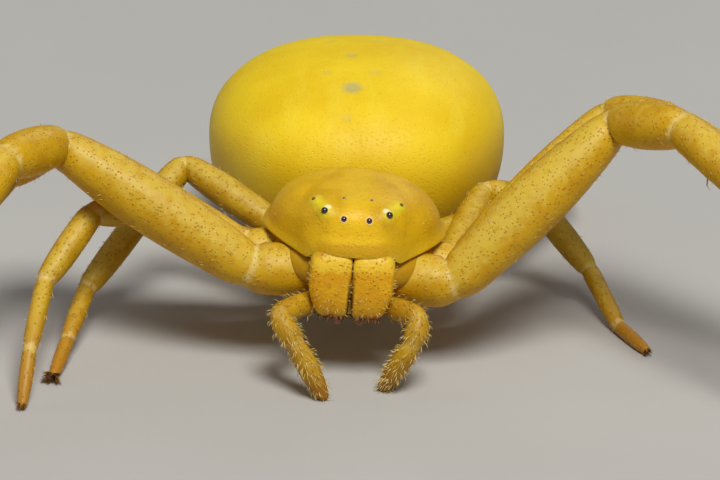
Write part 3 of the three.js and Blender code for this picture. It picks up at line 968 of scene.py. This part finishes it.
# %% Abdomen finish
def abdomen_finish():
    finish = Finish("skin_abdomen", 0.5, Specular_IOR_Level=0.3, Subsurface_Weight=0.15,
                    Subsurface_Radius=(1.0, 0.7, 0.1), Subsurface_Scale=0.0004)
    patches = finish.noise(0.55, 3)
    colour = finish.blend(finish.rise(patches, 0.35, 0.65), (0.80, 0.54, 0.006), (0.88, 0.635, 0.012))
    streaks = finish.noise(1.1, 3, (1.6, 0.5, 1.0))
    colour = finish.blend(finish.rise(streaks, 0.52, 0.7) * 0.3, colour, (0.88, 0.70, 0.05))
    # Painted shade: the abdomen turns darker towards its lower half, away from the light above
    colour = finish.blend(finish.rise(finish.axis("Z"), 3.3, 1.1) * 0.85, colour, (0.50, 0.27, 0.001))
    for place, radius, grey in dimple_spots:
        spot = finish.rise(finish.far_from(place), radius * 1.7, radius * 0.5)
        colour = finish.blend(spot * grey, colour, (0.46, 0.42, 0.17))
    pores = finish.cells(16)
    colour = finish.blend(finish.rise(pores, 0.2, 0.05) * 0.12, colour, (0.55, 0.32, 0.004))
    relief = finish.rise(pores, 0.0, 0.4) + finish.noise(9.0, 4) * 0.6
    return finish.wear(colour, 0.46 + finish.noise(5.0) * 0.14, relief, 0.008)


abdomen = finished("abdomen_skin", bm, abdomen_finish(), "abdomen", "abdomen")

# %% Waist and spinnerets
waist_ends = [leaned(0, PEDICEL[end], PEDICEL["height"]) for end in ("from", "to")]
waist_radii = [PEDICEL["radius"] * share for share in PEDICEL["swelling"]]
tube_piece("waist", walk(waist_ends, (waist_radii,)), 16, carapace_material, "carapace", "pedicel")

bm = bmesh.new()
x, y, z = SPINNERETS["centre"]
for i in range(SPINNERETS["count"]):
    angle = math.tau * i / SPINNERETS["count"]
    across, rise = SPINNERETS["spread"] * math.cos(angle), SPINNERETS["spread"] * math.sin(angle)
    reach, closing = SPINNERETS["length"], SPINNERETS["closing"]
    start = rolled(x + across, y, z + rise)
    end = rolled(x + closing * across, y + reach, z + closing * rise - SPINNERETS["droop"])
    make_tube(bm, tube_stops(walk([start, end], (SPINNERETS["radii"],))), 14)
finished("spinnerets_skin", bm, palp_material, "carapace", "spinnerets")

# %% [markdown]
# ## Hairs, spines and claws
# The legs, feelers and jaws carry short pale hairs, the jaws a dark fringe below, and the body a
# thin yellow down. The two front pairs of legs have rows of stout spines below, and each foot
# ends in two claws inside a tuft. There are thousands, so each is a plain bent cone of a few
# faces, and all those of one kind on one limb are one mesh. A hair needs a root, the way the skin
# faces there and the way the coat lies. All three come from the finished skin: a random triangle,
# chosen by its area and by where the coat likes to grow, and the direction in which the stored
# number along the limb grows. Each hair also gets its own small patch on a flat map of the skin,
# at its root.

# %% Hair helpers
BURIED = 0.012  # how deep a root sits in the skin
MIDDLE_RING = 0.7  # its radius, as a share of the root's
OFF_LINE = (0.013, 0.007, 0.011)  # keeps the two halves of a straight hair from one exact line
PATCH = 0.0015
PATCH_MIDDLE = 0.6
MAP_MARGIN = 0.004
JITTER = 0.17  # how much the directions of a coat's hairs differ


def unit_rows(rows):
    return rows / (np.linalg.norm(rows, axis=-1, keepdims=True) + 1e-12)


def read_back(data, key, width, kind=np.float32):
    """The values of one property of many mesh parts, in rows."""
    values = np.empty(len(data) * width, dtype=kind)
    data.foreach_get(key, values)
    return values.reshape(-1, width)


def hair_piece(name, roots, first, second, lengths, radius, unwrap, shades, material, slot, sides=3):
    """Bent cones, in millimetres of the frame: each has a root ring, a middle ring and a tip."""
    count = len(roots)
    lengths = np.asarray(lengths)[:, None]
    across = unit_rows(np.cross(first, second + OFF_LINE))
    other = np.cross(first, across)
    turn = math.tau * np.arange(sides) / sides
    circle = np.stack((np.cos(turn), np.sin(turn)), axis=1)
    ring = across[:, None] * circle[:, :1] + other[:, None] * circle[:, 1:]
    bend = roots + first * lengths * 0.5
    low = (roots - first * BURIED)[:, None] + ring * radius
    middle = bend[:, None] + ring * radius * MIDDLE_RING
    tip = (bend + second * lengths * 0.5)[:, None]
    points = np.concatenate((low, middle, tip), axis=1)
    points[..., 2] = np.maximum(points[..., 2], FLOOR_SKIN)
    each = 2 * sides + 1
    after = [(i + 1) % sides for i in range(sides)]
    pattern = [(i, after[i], sides + after[i], sides + i) for i in range(sides)]
    pattern += [(sides + i, sides + after[i], 2 * sides) for i in range(sides)] + [tuple(range(sides))[::-1]]
    faces = [[each * hair + corner for corner in face] for hair in range(count) for face in pattern]
    mesh = bpy.data.meshes.new(name)
    mesh.from_pydata((points.reshape(-1, 3) * METRE).tolist(), [], faces)
    patch = np.concatenate((circle, circle * PATCH_MIDDLE, [[0, 0]])) * PATCH
    flat = (MAP_MARGIN + (1 - 2 * MAP_MARGIN) * unwrap)[:, None] + patch
    corners = read_back(mesh.loops, "vertex_index", 1, np.int32)[:, 0]
    places = flat.reshape(-1, 2)[corners].astype(np.float32)
    mesh.uv_layers.new(name="OFBake").data.foreach_set("uv", places.ravel())
    shade = mesh.attributes.new("shade", "FLOAT", "POINT")
    shade.data.foreach_set("value", np.repeat(shades, each).astype(np.float32))
    return piece_of(name, mesh, material, slot)


def hair_finish(name, dark, pale, roughness=0.42):
    finish = Finish(name, roughness)
    tone = finish.blend(finish.stored("shade"), dark, pale)
    return finish.wear(tone, roughness + finish.noise(12.0) * 0.12, finish.noise(60.0), 0.002)


# %% A coat on a skin
def coat(name, skin, material, slot, count, length, radius, stand, liking):
    """Short hairs over a skin, which lie along it from its first end to its last."""
    rng = np.random.default_rng(sum(name.encode()))
    mesh = skin.evaluated_get(bpy.context.evaluated_depsgraph_get()).to_mesh()
    mesh.calc_loop_triangles()
    corners = read_back(mesh.loop_triangles, "vertices", 3, np.int32)
    spots = read_back(mesh.vertices, "co", 3) / METRE
    normals = read_back(mesh.vertex_normals, "vector", 3)
    stored = {key: read_back(mesh.attributes[key].data, "value", 1) for key in STORED}
    a, b, c = (spots[corners[:, i]] for i in range(3))
    cross = np.cross(b - a, c - a)
    along = stored["along"][corners]
    lie = (along[:, 1] - along[:, 0]) * np.cross(c - a, cross)
    lie = lie + (along[:, 2] - along[:, 0]) * np.cross(cross, b - a)
    liked = liking({key: values[corners].mean(axis=1)[:, 0] for key, values in stored.items()})
    weight = np.linalg.norm(cross, axis=1) * liked
    picked = rng.choice(len(weight), count, p=weight / weight.sum())
    shares = rng.dirichlet((1, 1, 1), count)

    def mixed(values):
        return sum(shares[:, i, None] * values[corners[picked, i]] for i in range(3))

    facing, lie = unit_rows(mixed(normals)), unit_rows(lie[picked])
    jitter = rng.normal(0, JITTER, facing.shape)
    first = unit_rows(facing * stand + lie * (1 - stand) + jitter)
    second = unit_rows(facing * stand * 0.5 + lie + jitter)
    around = np.arctan2(mixed(stored["back"]), mixed(stored["side"])) / math.tau + 0.5
    unwrap = np.concatenate((mixed(stored["along"]), around), axis=1)
    lengths = rng.uniform(*length, count)
    shades = rng.random(count)
    return hair_piece(name, mixed(spots), first, second, lengths, radius, unwrap, shades, material, slot)


# %% Coats
# Each coat: how many hairs, the shortest and the longest, their radius, how upright they stand,
# and where they like to grow, by the numbers stored on the skin
FRONT_LEG_COAT = (560, (0.06, 0.12), 0.0058, 0.38, lambda at: 0.5 + at["along"])
HIND_LEG_COAT = (280, *FRONT_LEG_COAT[1:])
PALP_COAT = (340, (0.09, 0.19), 0.0075, 0.55, lambda at: 0.2 + at["along"])
JAW_COAT = (110, (0.06, 0.12), 0.006, 0.55, lambda at: at["front"] > 0.1)
JAW_FRINGE = (90, (0.1, 0.2), 0.011, 0.8, lambda at: (at["back"] < -0.72) & (at["front"] > -0.4))
ABDOMEN_COAT = (360, (0.03, 0.06), 0.003, 0.4, lambda at: at["back"] > -0.75)
CARAPACE_COAT = (130, (0.05, 0.09), 0.0045, 0.4, lambda at: at["back"] > 0.1)

pale_hair = hair_finish("hair_pale", (0.70, 0.45, 0.04), (0.92, 0.78, 0.36))
dark_hair = hair_finish("hair_dark", (0.07, 0.015, 0.004), (0.42, 0.20, 0.05))
body_hair = hair_finish("hair_body", (0.78, 0.53, 0.02), (0.90, 0.72, 0.12))
coats = []
for name, skin in leg_skins.items():
    kind = FRONT_LEG_COAT if name.endswith(FRONT_PAIRS) else HIND_LEG_COAT
    coats.append(coat(f"{name}_hairs", skin, pale_hair, "leg", *kind))
for name, skin in palp_skins.items():
    coats.append(coat(f"{name}_hairs", skin, pale_hair, "leg", *PALP_COAT))
for side, skin in jaws.items():
    coats.append(coat(f"jaw_{side}_hairs", skin, pale_hair, "chelicera", *JAW_COAT))
    coats.append(coat(f"jaw_{side}_fringe", skin, dark_hair, "chelicera", *JAW_FRINGE))
coats.append(coat("abdomen_hairs", abdomen, body_hair, "abdomen", *ABDOMEN_COAT))
coats.append(coat("carapace_hairs", carapace, body_hair, "carapace", *CARAPACE_COAT))
print("hairs:", sum(len(piece.data.vertices) // 7 for piece in coats))

# %% Spines, claws and tufts
TIBIA, METATARSUS = 3, 4  # the places of two parts in a walked leg
SPINE_PLACES = [(TIBIA, share) for share in (0.42, 0.66, 0.9)]
SPINE_PLACES += [(METATARSUS, share) for share in (0.1, 0.3, 0.5, 0.7, 0.9)]
SPINE_LENGTH = 0.3
SPINE_RADIUS = 0.017
SPINE_ROOT = 0.96  # share of the limb's radius at which a spine starts
SPINE_SIDEWAYS, SPINE_BELOW = 0.5, 0.85  # the way it points from the middle of the limb
CLAW_LENGTH = 0.13
CLAW_RADIUS = 0.02
CLAW_OFF_MIDDLE = 0.035
TUFT_RADIUS = 0.0085
TUFT = {"hairs": 34, "length": (0.06, 0.14)}
BUSHY_TUFT = {"hairs": 220, "length": (0.1, 0.34)}  # on the hindmost feet


def limb_frame(stop):
    """The middle of a limb at one stop, in the frame, and its side, back and way there."""
    place, way, radius, along = stop[:4]
    axes = ring_place(place, way, 1).to_3x3().transposed()
    return np.array(place + shift), radius, along, [np.array(axis) for axis in axes]


def spines(name, stops):
    """Two rows of spines below a leg."""
    roots, first, second, unwrap = [], [], [], []
    for part, share in SPINE_PLACES:
        own = [stop for stop in stops if stop[-1] == part]
        middle, radius, along, (side, back, way) = limb_frame(own[round(share * (len(own) - 1))])
        for sign in SIDES.values():
            out = SPINE_SIDEWAYS * sign * side - SPINE_BELOW * back
            roots.append(middle + radius * SPINE_ROOT * out)
            first.append(out * 0.8 + way * 0.55)
            second.append(out * 0.3 + way)
            unwrap.append((along, math.atan2(-SPINE_BELOW, SPINE_SIDEWAYS * sign) / math.tau + 0.5))
    first, second = unit_rows(np.array(first)), unit_rows(np.array(second))
    lengths = np.full(len(roots), SPINE_LENGTH)
    shades = np.linspace(0.3, 0.9, len(roots))
    hair_piece(name, np.array(roots), first, second, lengths, SPINE_RADIUS, np.array(unwrap), shades,
               pale_spine, "leg", 5)


def foot_end(name, stop, rng, tuft):
    """Two claws and the tuft round them, which reach forwards from the tip of a limb."""
    middle, radius, _, (_, _, way) = limb_frame(stop)
    level = unit_rows(way * (1, 1, 0))
    rise = np.array((0, 0, 1.0))
    side = unit_rows(np.cross(level, rise))
    base = middle + level * radius * 0.7
    roots = np.array([base + side * sign * CLAW_OFF_MIDDLE for sign in SIDES.values()])
    first = unit_rows(np.array([level + rise * 0.45 + side * sign * 0.2 for sign in SIDES.values()]))
    second = unit_rows(np.array([level - rise * 0.9] * 2))
    flat = np.array([(0.3, 0.5), (0.7, 0.5)])
    hair_piece(f"{name}_claws", roots, first, second, np.full(2, CLAW_LENGTH), CLAW_RADIUS, flat,
               np.array((0.2, 0.3)), claw_horn, "foot", 6)
    spread = rng.uniform(-1, 1, (tuft["hairs"], 2))
    out = unit_rows(level + side * spread[:, :1] * 0.95 + rise * spread[:, 1:] * 0.7)
    roots = middle + out * radius * 0.85
    flat = 0.5 + 0.45 * spread
    lengths = rng.uniform(*tuft["length"], tuft["hairs"])
    hair_piece(f"{name}_tuft", roots, out, unit_rows(out + level * 0.5), lengths, TUFT_RADIUS, flat,
               rng.random(tuft["hairs"]), dark_hair, "foot")


pale_spine = hair_finish("spine_pale", (0.50, 0.24, 0.02), (0.72, 0.44, 0.08), 0.3)
claw_horn = hair_finish("claw_horn", (0.05, 0.015, 0.005), (0.16, 0.06, 0.02), 0.25)
tips = np.random.default_rng(41)
for name, stops in leg_walks.items():
    if name.endswith(FRONT_PAIRS):
        spines(f"{name}_spines", stops)
    foot_end(name, stops[-1], tips, BUSHY_TUFT if name.endswith("_4") else TUFT)
print("spines:", 4 * 2 * len(SPINE_PLACES), "claws:", 2 * len(leg_walks))
